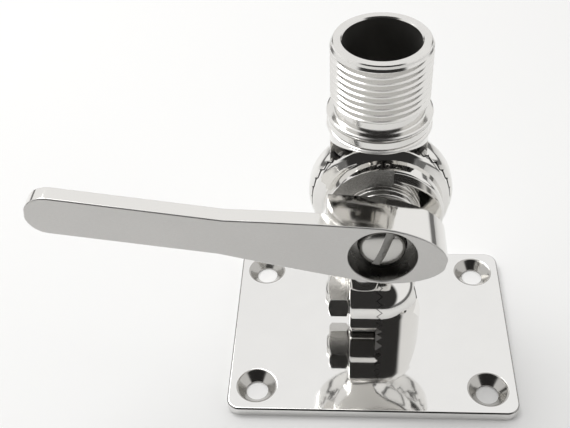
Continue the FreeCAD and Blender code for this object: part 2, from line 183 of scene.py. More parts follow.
KEY_SIZE, KEY_POWER = 0.5, 3.0
KEY_PLACE, KEY_AIM = Vector((-0.35, 0.25, 0.75)), Vector((0, 0, 0.04))
key_data = bpy.data.lights.new("overhead_softbox", "AREA")
key_data.size = KEY_SIZE
key_data.energy = KEY_POWER
key = bpy.data.objects.new("overhead_softbox", key_data)
bpy.context.scene.collection.objects.link(key)
key.location = KEY_PLACE
key.rotation_euler = (KEY_AIM - KEY_PLACE).to_track_quat("-Z", "Y").to_euler()


# ---- Base plate ----------------------------------------------------------------------
# 3 mm stainless sheet, cut with rounded corners, countersunk for four screws, then
# polished on a wheel to a mirror. The wheel rounds its top edge and the holes' rims, and
# leaves both of them, and the countersinks, rougher than the flat. Their colours are also
# darkened: a painted dark reflection along the rounded top edge, and painted shade in the
# countersinks and round their rims.

MM = 0.001
plate_low, plate_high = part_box("base_plate")
PLATE_CORNER, PLATE_EDGE = 4.0, 0.6
HOLE_PITCH_X, HOLE_PITCH_Y = 68.0, 47.0
HOLE_R, SINK_R = 3.3, 5.8
SINK_RIM = [(-0.4, -0.4), (-0.2, -0.14), (-0.08, 0.08), (-0.02, 0.3), (0.02, 0.55), (1, 3)]


def shade(colour, share):
    """A colour darkened to a share of its brightness."""
    return [c * share for c in colour] + [1]


def polished_steel(name, colour, roughness, wave_bump):
    """Mirror-polished stainless: slow waves left by the wheel, faint haze, hairline scratches."""
    material, wire, output = fresh_material(name)
    place = wire.node("ShaderNodeTexCoord", {}, {}, "Object")
    haze = place.noise(140.0, 4.0)
    hairlines = place.stretched((260.0, 9000.0, 2600.0), (0.3, 0.5, 0.7)).noise(1.0, 2.0)
    scratch = hairlines.ramp(0.62, 0.78)
    waves = place.noise(75.0, 1.0).bump(wave_bump, 0.0004)
    surface(wire, output, {"Base Color": haze.mix(shade(colour, 0.955), [*colour, 1]), "Metallic": 1.0,
                           "Roughness": roughness + 0.035 * haze + 0.05 * scratch,
                           "Normal": scratch.bump(0.02, 0.00002, Normal=waves)})
    return material


def pick(obj):
    """Select one object alone."""
    bpy.ops.object.select_all(action="DESELECT")
    obj.select_set(True)
    bpy.context.view_layer.objects.active = obj


def face_outwards():
    """In edit mode: turn every face outwards, and leave edit mode."""
    bpy.ops.mesh.select_all(action="SELECT")
    bpy.ops.mesh.normals_make_consistent(inside=False)
    bpy.ops.object.mode_set(mode="OBJECT")


def in_place(obj, name, centre=(0, 0, 0), axis="Z"):
    """Lay a piece made upright at the origin along its axis, at its centre in millimetres."""
    turns = {"X": Euler((0, pi / 2, 0)), "Y": Euler((-pi / 2, 0, 0)), "Z": Euler((0, 0, 0))}
    obj.name = obj.data.name = name
    obj.rotation_euler = turns[axis]
    obj.location = Vector(centre) * MM
    pick(obj)
    bpy.ops.object.transform_apply(location=True, rotation=True, scale=True)
    return obj


def turned(name, corners, centre=(0, 0, 0), axis="Z", around=96):
    """A solid turned from corners (height, radius), in millimetres: a disc, drawn up step by step."""
    bpy.ops.object.select_all(action="DESELECT")
    (height, radius), *others = corners
    bpy.ops.mesh.primitive_circle_add(vertices=around, radius=radius * MM, fill_type="NGON",
                                      location=(0, 0, height * MM))
    obj = bpy.context.object
    bpy.ops.object.transform_apply(location=True)
    bpy.ops.object.mode_set(mode="EDIT")
    bpy.ops.mesh.select_all(action="SELECT")
    for next_height, next_radius in others:
        bpy.ops.mesh.extrude_region_move(
            TRANSFORM_OT_translate={"value": (0, 0, (next_height - height) * MM)})
        k = next_radius / radius
        bpy.ops.transform.resize(value=(k, k, 1), center_override=(0, 0, next_height * MM))
        height, radius = next_height, next_radius
    face_outwards()
    return in_place(obj, name, centre, axis)


def apply_modifier(obj, kind, **settings):
    """Add a modifier and apply it at once."""
    pick(obj)
    modifier = obj.modifiers.new(kind.lower(), kind)
    for key, value in settings.items():
        setattr(modifier, key, value)
    bpy.ops.object.modifier_apply(modifier=modifier.name)


def combine(obj, tool, operation="DIFFERENCE"):
    """Cut a tool out of a piece, or join it on, and clear the tool away."""
    apply_modifier(obj, "BOOLEAN", operation=operation, object=tool, solver="MANIFOLD")
    bpy.data.objects.remove(tool)


def soften(obj, width, angle, segments=2):
    """Round a piece's sharp edges by a width in millimetres and set its smooth shading."""
    pick(obj)
    bpy.ops.object.mode_set(mode="EDIT")
    bpy.ops.mesh.select_all(action="SELECT")
    bpy.ops.mesh.remove_doubles(threshold=2e-6)
    bpy.ops.mesh.dissolve_degenerate(threshold=2e-6)
    bpy.ops.object.mode_set(mode="OBJECT")
    if width:
        apply_modifier(obj, "BEVEL", width=width * MM, segments=segments, limit_method="ANGLE",
                       angle_limit=radians(angle), use_clamp_overlap=True, miter_outer="MITER_ARC")
    pick(obj)
    bpy.ops.object.shade_smooth_by_angle(angle=radians(angle))
    apply_modifier(obj, "WEIGHTED_NORMAL", keep_sharp=True, weight=80)


def stands_for(obj, node, body, slot_name, *materials):
    """Give a finished piece its materials, and put it on its body in place of a frame node."""
    obj.data.materials.clear()
    for material in materials:
        obj.data.materials.append(material)
    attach(obj, body)
    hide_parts(node)


def refinish(obj, index, chosen):
    """Give another of a piece's materials to the faces that chosen(x, y, z, normal) picks."""
    for poly in obj.data.polygons:
        x, y, z = poly.center / MM
        if chosen(x, y, z, poly.normal):
            poly.material_index = index


def in_sink(x, y, z, normal):
    """True on a countersink, its hole's wall and its rounded rim."""
    off_hole = hypot(abs(x) - HOLE_PITCH_X / 2, abs(y) - HOLE_PITCH_Y / 2)
    return off_hole < SINK_R + PLATE_EDGE and abs(normal.z) < 0.985


mirror_plate = polished_steel("mirror_plate", (0.86, 0.855, 0.845), 0.035, 0.05)
# Rougher drilled finish, with its colour darkened as painted shade in the countersinks and on their rims.
drilled_sink_painted_shade = polished_steel("drilled_sink_painted_shade", (0.50, 0.49, 0.47), 0.15, 0.5)
# Rougher edge finish, with its colour darkened as a painted dark reflection along the plate's rounded top
# edge.
edge_painted_dark_reflection = polished_steel("edge_painted_dark_reflection", (0.34, 0.335, 0.325), 0.16, 0.3)

bpy.ops.object.select_all(action="DESELECT")
plate_size = plate_high - plate_low
bpy.ops.mesh.primitive_cube_add(size=1.0, location=(0, 0, plate_size.z / 2))
plate = bpy.context.object
plate.scale = plate_size
bpy.ops.object.transform_apply(location=True, rotation=True, scale=True)
top = plate_size.z
is_upright = lambda low, high: abs(high - low) > top / 2
is_on_top = lambda low, high: low > top * 0.9 and high > top * 0.9
for chosen, width, segments in ((is_upright, PLATE_CORNER, 12), (is_on_top, PLATE_EDGE, 5)):
    bpy.ops.object.mode_set(mode="EDIT")
    bpy.ops.mesh.select_mode(type="EDGE")
    bpy.ops.mesh.select_all(action="DESELECT")
    bpy.ops.object.mode_set(mode="OBJECT")
    for edge in plate.data.edges:
        edge.select = chosen(*(plate.data.vertices[i].co.z for i in edge.vertices))
    bpy.ops.object.mode_set(mode="EDIT")
    bpy.ops.mesh.bevel(offset=width * MM, segments=segments, affect="EDGES")
bpy.ops.mesh.select_mode(type="VERT")
bpy.ops.object.mode_set(mode="OBJECT")
plate_top = top / MM
sink = [(-1, HOLE_R), (plate_top - SINK_R + HOLE_R, HOLE_R)]
sink += [(plate_top + up, SINK_R + out) for up, out in SINK_RIM]
for i in (-1, 1):
    for j in (-1, 1):
        combine(plate, turned("drill", sink, (i * HOLE_PITCH_X / 2, j * HOLE_PITCH_Y / 2, 0), around=64))
in_place(plate, "plate")
soften(plate, 0, angle=30)
stands_for(plate, "base_plate", "base", "polished_plate", mirror_plate, drilled_sink_painted_shade, edge_painted_dark_reflection)
# Painted dark reflection on the rounded top edge.
refinish(plate, 2, lambda x, y, z, normal: z > plate_top / 2 and 0.35 < normal.z < 0.93)
# Painted shade in the countersinks, their holes and their rims.
refinish(plate, 1, in_sink)


# ---- Tilt joint's ear ----------------------------------------------------------------
# A half-round lug, cast in stainless and welded to the plate, polished all over. Its flat
# left face has radial teeth, and its right end a hexagonal pocket for the bolt's head.

tilt = next(j for j in frame["joints"] if j["name"] == "tilt")
TILT_X, TILT_Y, TILT_Z = tilt_centre = [v / MM for v in tilt["pos_m"]]
TILT_R, TILT_TEETH = 12.0, 30
TOOTH_H, TOOTH_GAP, TOOTH_INNER, HALF_TOOTH = 0.78, 0.16, 0.6, 0.5
EAR_DOME_X = TILT_X + 1.0
BOLT_HOLE_R, POCKET_ACROSS, POCKET_DEPTH = 4.1, 13.4, 5.35
EAR_CUTTER_R = 20.0
CUT_CLEAN, FACE_SPARE = 1e-7, 1.5

mirror_casting = polished_steel("mirror_casting", (0.83, 0.82, 0.80), 0.05, 0.12)
# Painted shade: the teeth's faces are coloured near black, and rougher, for the shade between the teeth.
painted_shade_teeth = polished_steel("painted_shade_teeth", (0.16, 0.155, 0.15), 0.42, 0.3)


def hexagon(name, across, height, centre, axis, turn_deg=0.0):
    """A hexagonal bar, given across its flats."""
    bpy.ops.object.select_all(action="DESELECT")
    bpy.ops.mesh.primitive_cylinder_add(
        vertices=6, radius=across / 2 / cos(pi / 6) * MM, depth=height * MM,
        location=(0, 0, height / 2 * MM), rotation=(0, 0, radians(turn_deg)))
    obj = bpy.context.object
    bpy.ops.object.transform_apply(location=True, rotation=True)
    return in_place(obj, name, centre, axis)


def tooth_cutter(teeth, rim_r, disc_r, centre, axis, side):
    """A round tool with radial teeth on one end. It cuts a toothed face whose solid lies to the side."""
    bpy.ops.object.select_all(action="DESELECT")
    bpy.ops.mesh.primitive_cylinder_add(vertices=2 * teeth, radius=rim_r * MM, depth=8 * MM,
                                        end_fill_type="TRIFAN", location=(0, 0, -4 * side * MM))
    obj = bpy.context.object
    bpy.ops.object.transform_apply(location=True)
    for v in obj.data.vertices:
        if abs(v.co.z) < 1e-6 and v.co.xy.length > rim_r * MM / 2:
            turns = v.co.xy.angle_signed(Vector((1, 0)), 0.0) / (2 * pi) % 1.0
            rise = TOOTH_H * rim_r / disc_r * (1 if round(turns * 2 * teeth) % 2 else -1)
            v.co.z += rise * MM
        v.co.z += side * TOOTH_GAP * MM
    obj.rotation_euler.z = 2 * pi * HALF_TOOTH / teeth
    bpy.ops.object.transform_apply(rotation=True)
    return in_place(obj, "tooth_cutter", centre, axis)


def bolt_through(obj, centre, axis, ring_r, side, reach=30.0):
    """Drill the bolt hole and clear the teeth's crowded middle on a face whose solid lies to the side."""
    near, far = sorted([-6.0 * side, (TOOTH_H + TOOTH_GAP) * side])
    combine(obj, turned("relief", [(near, ring_r), (far, ring_r)], centre, axis, 64))
    combine(obj, turned("drill", [(-reach, BOLT_HOLE_R), (reach, BOLT_HOLE_R)], centre, axis, 48))


def on_tilt_teeth(x, y, z, normal):
    """True on the teeth of the tilt joint, on either side."""
    return abs(x - TILT_X) < 1.2 and abs(normal.x) > 0.5 and z < TILT_Z + TILT_R


def half_away(obj, cut_normal, depth):
    """Cut away the half behind the origin, and draw the cut face back by a depth in metres."""
    bpy.ops.object.mode_set(mode="EDIT")
    bpy.ops.mesh.select_all(action="SELECT")
    bpy.ops.mesh.bisect(plane_co=(0, 0, 0), plane_no=cut_normal, clear_inner=True, use_fill=True,
                        threshold=CUT_CLEAN)
    bpy.ops.object.mode_set(mode="OBJECT")
    for poly in obj.data.polygons:
        poly.select = poly.normal.dot(Vector(cut_normal)) < -0.9
    bpy.ops.object.mode_set(mode="EDIT")
    bpy.ops.mesh.select_mode(type="FACE")
    bpy.ops.mesh.extrude_region_move(TRANSFORM_OT_translate={"value": -Vector(cut_normal) * depth})
    bpy.ops.mesh.select_mode(type="VERT")


bpy.ops.object.select_all(action="DESELECT")
bpy.ops.mesh.primitive_uv_sphere_add(segments=128, ring_count=64, radius=TILT_R * MM)
ear = bpy.context.object
half_away(ear, (0, 0, 1), TILT_Z * MM - plate_size.z)
bpy.ops.object.mode_set(mode="OBJECT")
half_away(ear, (1, 0, 0), (EAR_DOME_X - TILT_X + FACE_SPARE) * MM)
face_outwards()
in_place(ear, "ear", (EAR_DOME_X, TILT_Y, TILT_Z))
combine(ear, tooth_cutter(TILT_TEETH, EAR_CUTTER_R, TILT_R, tilt_centre, "X", 1))
bolt_through(ear, tilt_centre, "X", TOOTH_INNER * TILT_R, 1)
bolt_low, bolt_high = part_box("tilt_bolt")
pocket_x = bolt_high[0] / MM - POCKET_DEPTH
combine(ear, hexagon("pocket", POCKET_ACROSS, 20, (pocket_x, TILT_Y, TILT_Z), "X"))
soften(ear, 0, angle=40)
stands_for(ear, "base_ear", "base", "polished_casting", mirror_casting, painted_shade_teeth)
# Painted shade on the tilt teeth.
refinish(ear, 1, on_tilt_teeth)


# ---- Knuckle -------------------------------------------------------------------------
# One stainless casting with two discs set crosswise: the lower one turns against the ear,
# the upper one carries the fold joint. It is polished, but for a step on its front barrel.

fold = next(j for j in frame["joints"] if j["name"] == "fold")
FOLD_X, FOLD_Y, FOLD_Z = fold_centre = [v / MM for v in fold["pos_m"]]
FOLD_TEETH = 36
KNUCKLE_LEFT, KNUCKLE_FRONT_Y = -6.7, -5.3
FLANGE_R, HEAD_FACE_R, HEAD_R, FOLD_CUTTER_R = 18.7, 18.9, 19.8, 21.0
BARREL_X, BARREL_R = 2.6, 15.9
ROUGH_DEPTH, ROUGH_RIGHT_X, ROUGH_INNER_R, ROUGH_LOW = 0.5, 4.6, 10.6, 4.0
SWEEP_ROOM, FOLD_ROOM, CUTTER_SPARE = 0.45, 0.5, 2.0
NECK_STATIONS = [  # height, x, y, width, depth
    (15.0, -2.25, 2.2, 8.9, 14.0),
    (24.0, -2.30, 0.9, 8.9, 13.0),
    (29.0, -2.20, -0.8, 9.6, 9.6),
    (34.0, -1.00, -1.75, 14.0, 7.3),
    (38.0, 0.90, -1.75, 22.0, 7.0),
    (44.0, 1.70, -1.75, 28.0, 7.0),
]

rough_cast, wire, output = fresh_material("rough_cast")
place = wire.node("ShaderNodeTexCoord", {}, {}, "Object")
skin = place.noise(1900.0, 5.0, Roughness=0.65)
pits = wire.node("ShaderNodeTexVoronoi", {}, {"Vector": place, "Scale": 2600.0}, "Distance")
surface(wire, output, {"Base Color": skin.mix((0.22, 0.215, 0.205, 1), (0.72, 0.71, 0.69, 1)),
                       "Metallic": 1.0, "Roughness": 0.26 + 0.22 * skin,
                       "Normal": (skin + 0.5 * pits).bump(0.9, 0.00016)})


def on_fold_teeth(x, y, z, normal):
    """True on the teeth of the fold joint, on either side."""
    inside_rim = hypot(x - FOLD_X, z - FOLD_Z) < HEAD_FACE_R - 0.1
    return abs(y - FOLD_Y) < 1.2 and abs(normal.y) > 0.5 and inside_rim


def block(size, centre):
    """A cube to cut with, in millimetres."""
    bpy.ops.object.select_all(action="DESELECT")
    bpy.ops.mesh.primitive_cube_add(size=size * MM, location=Vector(centre) * MM)
    return bpy.context.object


left = KNUCKLE_LEFT - TILT_X
lower = turned("knuckle_disc", [(left, TILT_R - 0.9), (left + 0.27, TILT_R - 0.27),
                                (left + 0.9, TILT_R), (FACE_SPARE, TILT_R)],
               tilt_centre, "X", 120)
front = KNUCKLE_FRONT_Y - FOLD_Y
flange = [(-3.25, BARREL_R - 0.4), (-2.6, BARREL_R + 0.6), (-1.9, FLANGE_R - 0.9),
          (-1.6, FLANGE_R - 0.3), (-1.2, FLANGE_R), (FACE_SPARE, FLANGE_R)]
knuckle = turned("knuckle_casting", flange, fold_centre, "Y", 144)
barrel = [(front, BARREL_R - 0.75), (front + 0.12, BARREL_R - 0.35), (front + 0.45, BARREL_R - 0.08),
          (front + 0.9, BARREL_R), (-1.0, BARREL_R)]
combine(knuckle, turned("barrel", barrel, (BARREL_X, FOLD_Y, FOLD_Z), "Y", 144), "UNION")
rough = turned("rough_step", [(front - 1, 20), (front + ROUGH_DEPTH, 20)], fold_centre, "Y", 96)
inside = [(front - 2, ROUGH_INNER_R), (front + 2, ROUGH_INNER_R)]
combine(rough, turned("inside", inside, fold_centre, "Y", 96))
combine(rough, block(60, (ROUGH_RIGHT_X + 30, 0, FOLD_Z)))
combine(rough, block(60, (0, 0, FOLD_Z - ROUGH_LOW - 30)))
combine(knuckle, rough)

bpy.ops.object.select_all(action="DESELECT")
bpy.ops.mesh.primitive_plane_add(size=1.0)
neck = bpy.context.object
bpy.ops.object.mode_set(mode="EDIT")
bpy.ops.mesh.select_all(action="SELECT")
z, x, y, wide, deep = NECK_STATIONS[0]
bpy.ops.transform.resize(value=(wide * MM, deep * MM, 1), center_override=(0, 0, 0))
bpy.ops.transform.translate(value=(x * MM, y * MM, z * MM))
for next_z, next_x, next_y, next_wide, next_deep in NECK_STATIONS[1:]:
    bpy.ops.mesh.extrude_region_move(TRANSFORM_OT_translate={
        "value": ((next_x - x) * MM, (next_y - y) * MM, (next_z - z) * MM)})
    bpy.ops.transform.resize(value=(next_wide / wide, next_deep / deep, 1),
                             center_override=(next_x * MM, next_y * MM, next_z * MM))
    z, x, y, wide, deep = next_z, next_x, next_y, next_wide, next_deep
bpy.ops.mesh.select_all(action="SELECT")
bpy.ops.mesh.normals_make_consistent(inside=False)
bpy.ops.mesh.bevel(offset=2.0 * MM, segments=2, affect="EDGES")
bpy.ops.object.mode_set(mode="OBJECT")
apply_modifier(neck, "SUBSURF", levels=2, render_levels=2)
in_place(neck, "neck")
sweep_r, fold_r = TILT_R + SWEEP_ROOM, HEAD_R + FOLD_ROOM
combine(neck, turned("sweep_room", [(0, sweep_r), (20, sweep_r)], tilt_centre, "X", 96))
combine(neck, turned("fold_room", [(-0.1, fold_r), (20, fold_r)], fold_centre, "Y", 96))
combine(knuckle, lower, "UNION")
combine(knuckle, neck, "UNION")
combine(knuckle, tooth_cutter(TILT_TEETH, TILT_R + CUTTER_SPARE, TILT_R, tilt_centre, "X", -1))
combine(knuckle, tooth_cutter(FOLD_TEETH, FOLD_CUTTER_R, HEAD_FACE_R, fold_centre, "Y", -1))
bolt_through(knuckle, tilt_centre, "X", TOOTH_INNER * TILT_R, -1)
bolt_through(knuckle, fold_centre, "Y", TOOTH_INNER * FLANGE_R, -1)
soften(knuckle, 0, angle=40)
stands_for(knuckle, "knuckle", "knuckle", "polished_casting", mirror_casting, rough_cast, painted_shade_teeth)
step_y = KNUCKLE_FRONT_Y + ROUGH_DEPTH
refinish(knuckle, 1, lambda x, y, z, normal: abs(y - step_y) < 0.02 and normal.y < -0.9)
# Painted shade on the tilt and fold teeth.
refinish(knuckle, 2, on_tilt_teeth)
refinish(knuckle, 2, on_fold_teeth)


# ---- Head ----------------------------------------------------------------------------
# The upper casting: a toothed disc, rounded at the back, that runs up into a round neck
# for the stub. The hexagonal pocket in its back keeps the clamping bolt from turning.

HEAD_BACK, BACK_ROUNDING = 10.5 - FOLD_Y, 3.6
NECK_R, NECK_BORE_R, NECK_BORE_DEPTH = 12.9, 9.3, 0.5
UNDERCUT_Z, UNDERCUT_RISE = 75.6, 0.38
POCKET_FLOOR_Y = 5.2
STUB_X, STUB_Y = 0.7, 4.5
STUB_BOTTOM_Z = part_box("mast_stub")[0][2] / MM

rounded_back = [(HEAD_BACK - BACK_ROUNDING * (1 - sin(t)), HEAD_R - BACK_ROUNDING * (1 - cos(t)))
                for t in (radians(a) for a in range(0, 91, 10))]
face_edge = [(-FACE_SPARE, HEAD_FACE_R), (0.7, HEAD_FACE_R), (1.1, HEAD_FACE_R + 0.45),
             (1.6, HEAD_R - 0.18), (2.4, HEAD_R)]
head = turned("head", face_edge + rounded_back, fold_centre, "Y", 144)
neck = turned("head_neck", [(FOLD_Z, NECK_R), (STUB_BOTTOM_Z - 0.3, NECK_R), (STUB_BOTTOM_Z, NECK_R - 0.3)],
              (STUB_X, STUB_Y, 0), "Z", 96)
behind = [(HEAD_BACK, 12.5), (HEAD_BACK + 0.8, 14.3), (HEAD_BACK + 2.2, 16.2), (HEAD_BACK + 4.2, 17.8),
          (HEAD_BACK + 6.5, 18.8), (HEAD_BACK + 12, 19.5)]
combine(neck, turned("behind", behind, fold_centre, "Y", 128))
undercut = block(60, (0, FOLD_Y + 0.05 - 30, UNDERCUT_Z - 30))
for v in undercut.data.vertices:
    if v.co.y < 0 and v.co.z > 0:
        v.co.z += 60 * UNDERCUT_RISE * MM
combine(neck, undercut)
combine(head, neck, "UNION")
combine(head, tooth_cutter(FOLD_TEETH, FOLD_CUTTER_R, HEAD_FACE_R, fold_centre, "Y", 1))
bolt_through(head, fold_centre, "Y", TOOTH_INNER * FLANGE_R, 1, 20.0)
combine(head, hexagon("pocket", POCKET_ACROSS, 20, (FOLD_X, POCKET_FLOOR_Y, FOLD_Z), "Y"))
bore = [(STUB_BOTTOM_Z - NECK_BORE_DEPTH, NECK_BORE_R), (STUB_BOTTOM_Z + 1, NECK_BORE_R)]
combine(head, turned("bore", bore, (STUB_X, STUB_Y, 0), "Z", 96))
soften(head, 0, angle=40)
stands_for(head, "head_casting", "head", "polished_casting", mirror_casting, painted_shade_teeth)
# Painted shade on the fold teeth.
refinish(head, 1, on_fold_teeth)


# ---- Threaded stub -------------------------------------------------------------------
# A stainless tube turned on a lathe and welded to the neck: a beaded collar, a relief
# and a 1 inch by 14 thread. Its bore is left rough as the drill left it, and its colour is
# darkened as painted shade inside the tube.

COLLAR_R, THREAD_R, THREAD_DEPTH, BORE_R = 13.7, 12.7, 1.1, 9.75
THREAD_PITCH = 25.4 / 14
THREAD_TURNS, GROOVE_OVER = 8, 0.5
THREAD_START, STUB_TOP = 88.3, 104.8


def lathe_steel(name, colour, roughness, ring_scale):
    """Turned stainless: bright, with fine tool rings along its length."""
    material, wire, output = fresh_material(name)
    place = wire.node("ShaderNodeTexCoord", {}, {}, "Object")
    rings = place.stretched((20.0, 20.0, ring_scale)).noise(1.0, 2.0)
    patches = place.noise(220.0, 3.0)
    surface(wire, output, {"Base Color": patches.mix(shade(colour, 0.92), [*colour, 1]), "Metallic": 1.0,
                           "Roughness": roughness + 0.08 * patches + 0.04 * rings,
                           "Normal": rings.bump(0.12, 0.00004)})
    return material


def swept(section, angle, rise, repeats, steps):
    """Carry a flat section round Z as it climbs, and close both ends of what it sweeps."""
    apply_modifier(section, "SCREW", angle=angle, screw_offset=rise, iterations=repeats, axis="Z",
                   steps=steps, render_steps=steps, use_merge_vertices=False, use_smooth_shade=False)
    bpy.ops.object.mode_set(mode="EDIT")
    bpy.ops.mesh.select_all(action="SELECT")
    bpy.ops.mesh.remove_doubles(threshold=1e-7)
    bpy.ops.mesh.select_all(action="DESELECT")
    bpy.ops.mesh.select_mode(type="EDGE")
    bpy.ops.mesh.select_non_manifold()
    bpy.ops.mesh.edge_face_add()
    face_outwards()


bright_lathe = lathe_steel("bright_lathe", (0.80, 0.79, 0.77), 0.09, 5200.0)
# Rough drilled finish, with its colour darkened as painted shade inside the tube.
dull_bore_painted_shade = lathe_steel("dull_bore_painted_shade", (0.20, 0.195, 0.185), 0.48, 3000.0)

z = STUB_BOTTOM_Z
profile = [
    (z, COLLAR_R - 0.45), (z + 0.15, COLLAR_R - 0.12), (z + 0.5, COLLAR_R), (z + 0.85, COLLAR_R - 0.12),
    (z + 1.05, COLLAR_R - 0.45), (z + 1.15, COLLAR_R - 0.7), (z + 1.6, COLLAR_R - 0.7),
    (z + 1.7, COLLAR_R - 0.32), (z + 3.35, COLLAR_R - 0.32), (z + 3.45, COLLAR_R - 0.7),
    (z + 3.75, COLLAR_R - 0.7), (z + 3.85, COLLAR_R - 0.35), (z + 4.05, COLLAR_R - 0.1),
    (z + 4.35, COLLAR_R), (z + 4.65, COLLAR_R - 0.12), (z + 4.9, COLLAR_R - 0.5),
    (z + 4.95, THREAD_R - THREAD_DEPTH + 0.35), (z + 5.2, THREAD_R - THREAD_DEPTH),
    (THREAD_START - 0.7, THREAD_R - THREAD_DEPTH), (THREAD_START + 0.4, THREAD_R),
    (STUB_TOP - 1.5, THREAD_R), (STUB_TOP - 0.9, THREAD_R - 0.45), (STUB_TOP - 0.25, THREAD_R - 0.55),
    (STUB_TOP, THREAD_R - 0.8),
]
stub = turned("stub", profile, (STUB_X, STUB_Y, 0), "Z", 128)

bpy.ops.object.select_all(action="DESELECT")
bpy.ops.mesh.primitive_plane_add(size=1.0)
groove = bpy.context.object
root_half, mouth_half = THREAD_PITCH / 16, THREAD_PITCH * 7 / 16
flank = (mouth_half - root_half) / THREAD_DEPTH
root_r, mouth_r = THREAD_R - THREAD_DEPTH, THREAD_R + GROOVE_OVER
mouth_half += GROOVE_OVER * flank
corners = [(root_r, -root_half), (mouth_r, -mouth_half), (root_r, root_half), (mouth_r, mouth_half)]
for v, (r, height) in zip(groove.data.vertices, corners):
    v.co = Vector((r, 0, height)) * MM
groove.location.z = (THREAD_START + 0.1) * MM
bpy.ops.object.transform_apply(location=True)
swept(groove, 2 * pi, THREAD_PITCH * MM, THREAD_TURNS, 128)
in_place(groove, "thread_groove", (STUB_X, STUB_Y, 0))
combine(stub, groove)
bore = [(z - 1, BORE_R), (STUB_TOP - 0.35, BORE_R), (STUB_TOP + 0.65, BORE_R + 1.0)]
combine(stub, turned("bore", bore, (STUB_X, STUB_Y, 0), "Z", 96))
soften(stub, 0, angle=28)
stands_for(stub, "mast_stub", "head", "machined_tube", bright_lathe, dull_bore_painted_shade)
# Painted shade on the bore's wall.
refinish(stub, 1, lambda x, y, z, normal: hypot(x - STUB_X, y - STUB_Y) < BORE_R + 0.05
         and abs(normal.z) < 0.3)


# ---- Clamping stack ------------------------------------------------------------------
# Between knuckle and lever: a loose thrust washer and the flange of the lever's tapped
# nut, both turned from bar and bright. The rest of the nut is out of sight in the lever.

WASHER_HOLE_R, TAPPED_R, NUT_SHANK_R, NUT_SHOULDER_Y = 4.2, 4.03, 6.8, -8.75
bright_bar = lathe_steel("bright_bar", (0.76, 0.75, 0.73), 0.12, 900.0)


def ring_piece(name, node, corners, hole_r, body, slot_name, material):
    """A turned ring on the fold axis, its corners as (y, radius)."""
    piece = turned(name, [(y - FOLD_Y, r) for y, r in corners], fold_centre, "Y", 128)
    combine(piece, turned("drill", [(-30, hole_r), (0, hole_r)], fold_centre, "Y", 48))
    soften(piece, 0.12, angle=40)
    stands_for(piece, node, body, slot_name, material)


washer_y = [c[1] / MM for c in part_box("thrust_washer")]
ring_piece("washer", "thrust_washer",
           [(washer_y[0], 9.9), (washer_y[0] + 0.15, 10.2), (washer_y[0] + 0.4, 10.3),
            (washer_y[1] - 0.2, 10.3), (washer_y[1], 10.1)],
           WASHER_HOLE_R, "knuckle", "bolt_steel", bright_bar)
nut_y = [c[1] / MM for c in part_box("clamp_nut")]
ring_piece("clamping_nut", "clamp_nut",
           [(nut_y[0], NUT_SHANK_R), (NUT_SHOULDER_Y, NUT_SHANK_R), (NUT_SHOULDER_Y + 0.01, 10.1),
            (NUT_SHOULDER_Y + 0.15, 10.45), (NUT_SHOULDER_Y + 0.5, 10.6), (nut_y[1] - 0.5, 10.6),
            (nut_y[1] - 0.15, 10.45), (nut_y[1], 10.1)],
           TAPPED_R, "clamp", "bolt_steel", bright_bar)


# ---- Lever ---------------------------------------------------------------------------
# A stainless casting: a thick hub with a stub nose on the right and a long flat arm to the
# left with a rounded tip. Its sides are polished, its front is left satin by the belt.

LEVER_FRONT, LEVER_BACK, ARM_T, HUB_REACH = -21.0, -8.8, 4.7, 16.2
LEVER_RISE_DEG = 9.3
HUB_MIDDLE, HUB_HALF, NOSE_REACH = 2.0, 9.95, 17.0
ARM_HALF, ARM_REACH, ARM_TAPER_END = 6.1, 92.2, 42.0
RECESS_R, RECESS_FLOOR, CHAMBER_R, LEDGE_Y = 8.9, -16.2, 6.5, -12.2
SHANK_HOLE_R, SOCKET_R, SOCKET_Y = 2.8, 7.25, -11.42
SATIN_DEPTH, SATIN_FADE = 0.25, 0.0002


def satin_front(name, colour, satin_below):
    """Cast stainless, polished, but with a satin grain on the flat front below a depth Y."""
    material, wire, output = fresh_material(name)
    place = wire.node("ShaderNodeTexCoord", {}, {}, "Object")
    depth = wire.node("ShaderNodeSeparateXYZ", {}, {"Vector": place}, "Y")
    satin = depth.ramp(satin_below, satin_below + SATIN_FADE, 1.0, 0.0)
    grain = place.stretched((900.0, 900.0, 12000.0), (0, radians(-78), 0)).noise(1.0, 3.0)
    clouds = place.noise(90.0, 3.0)
    worked = 0.6 * grain + 0.4 * place.noise(3800.0, 2.0)
    ground = worked.mix(shade(colour, 0.74), [*colour, 1])
    surface(wire, output, {"Base Color": satin.mix((0.82, 0.81, 0.79, 1), ground), "Metallic": 1.0,
                           "Roughness": 0.07 + satin * (0.23 + 0.12 * clouds) + 0.02 * clouds,
                           "Normal": worked.bump(0.5 * satin, 0.00003)})
    return material


satin_lever = satin_front("satin_lever", (0.66, 0.65, 0.635), (LEVER_FRONT + SATIN_DEPTH) * MM)
# Painted shade: a dark colour for the shade inside the lever's recess and the screw's slot.
recess_painted_shade = lathe_steel("recess_painted_shade", (0.24, 0.235, 0.225), 0.22, 700.0)


def lever_half_width(u):
    """Half the lever's height at a distance u from the fold axis, positive towards the tip."""
    if u > ARM_REACH - ARM_HALF:
        return sqrt(max(ARM_HALF ** 2 - (u - ARM_REACH + ARM_HALF) ** 2, 0))
    if u > ARM_TAPER_END:
        return ARM_HALF
    if u > HUB_MIDDLE:
        along = (u - HUB_MIDDLE) / (ARM_TAPER_END - HUB_MIDDLE)
        return HUB_HALF - (HUB_HALF - ARM_HALF) * along + 0.25 * sin(pi * along)
    return HUB_HALF * sqrt(max(1 - ((u - HUB_MIDDLE) / (NOSE_REACH + HUB_MIDDLE)) ** 2, 0))


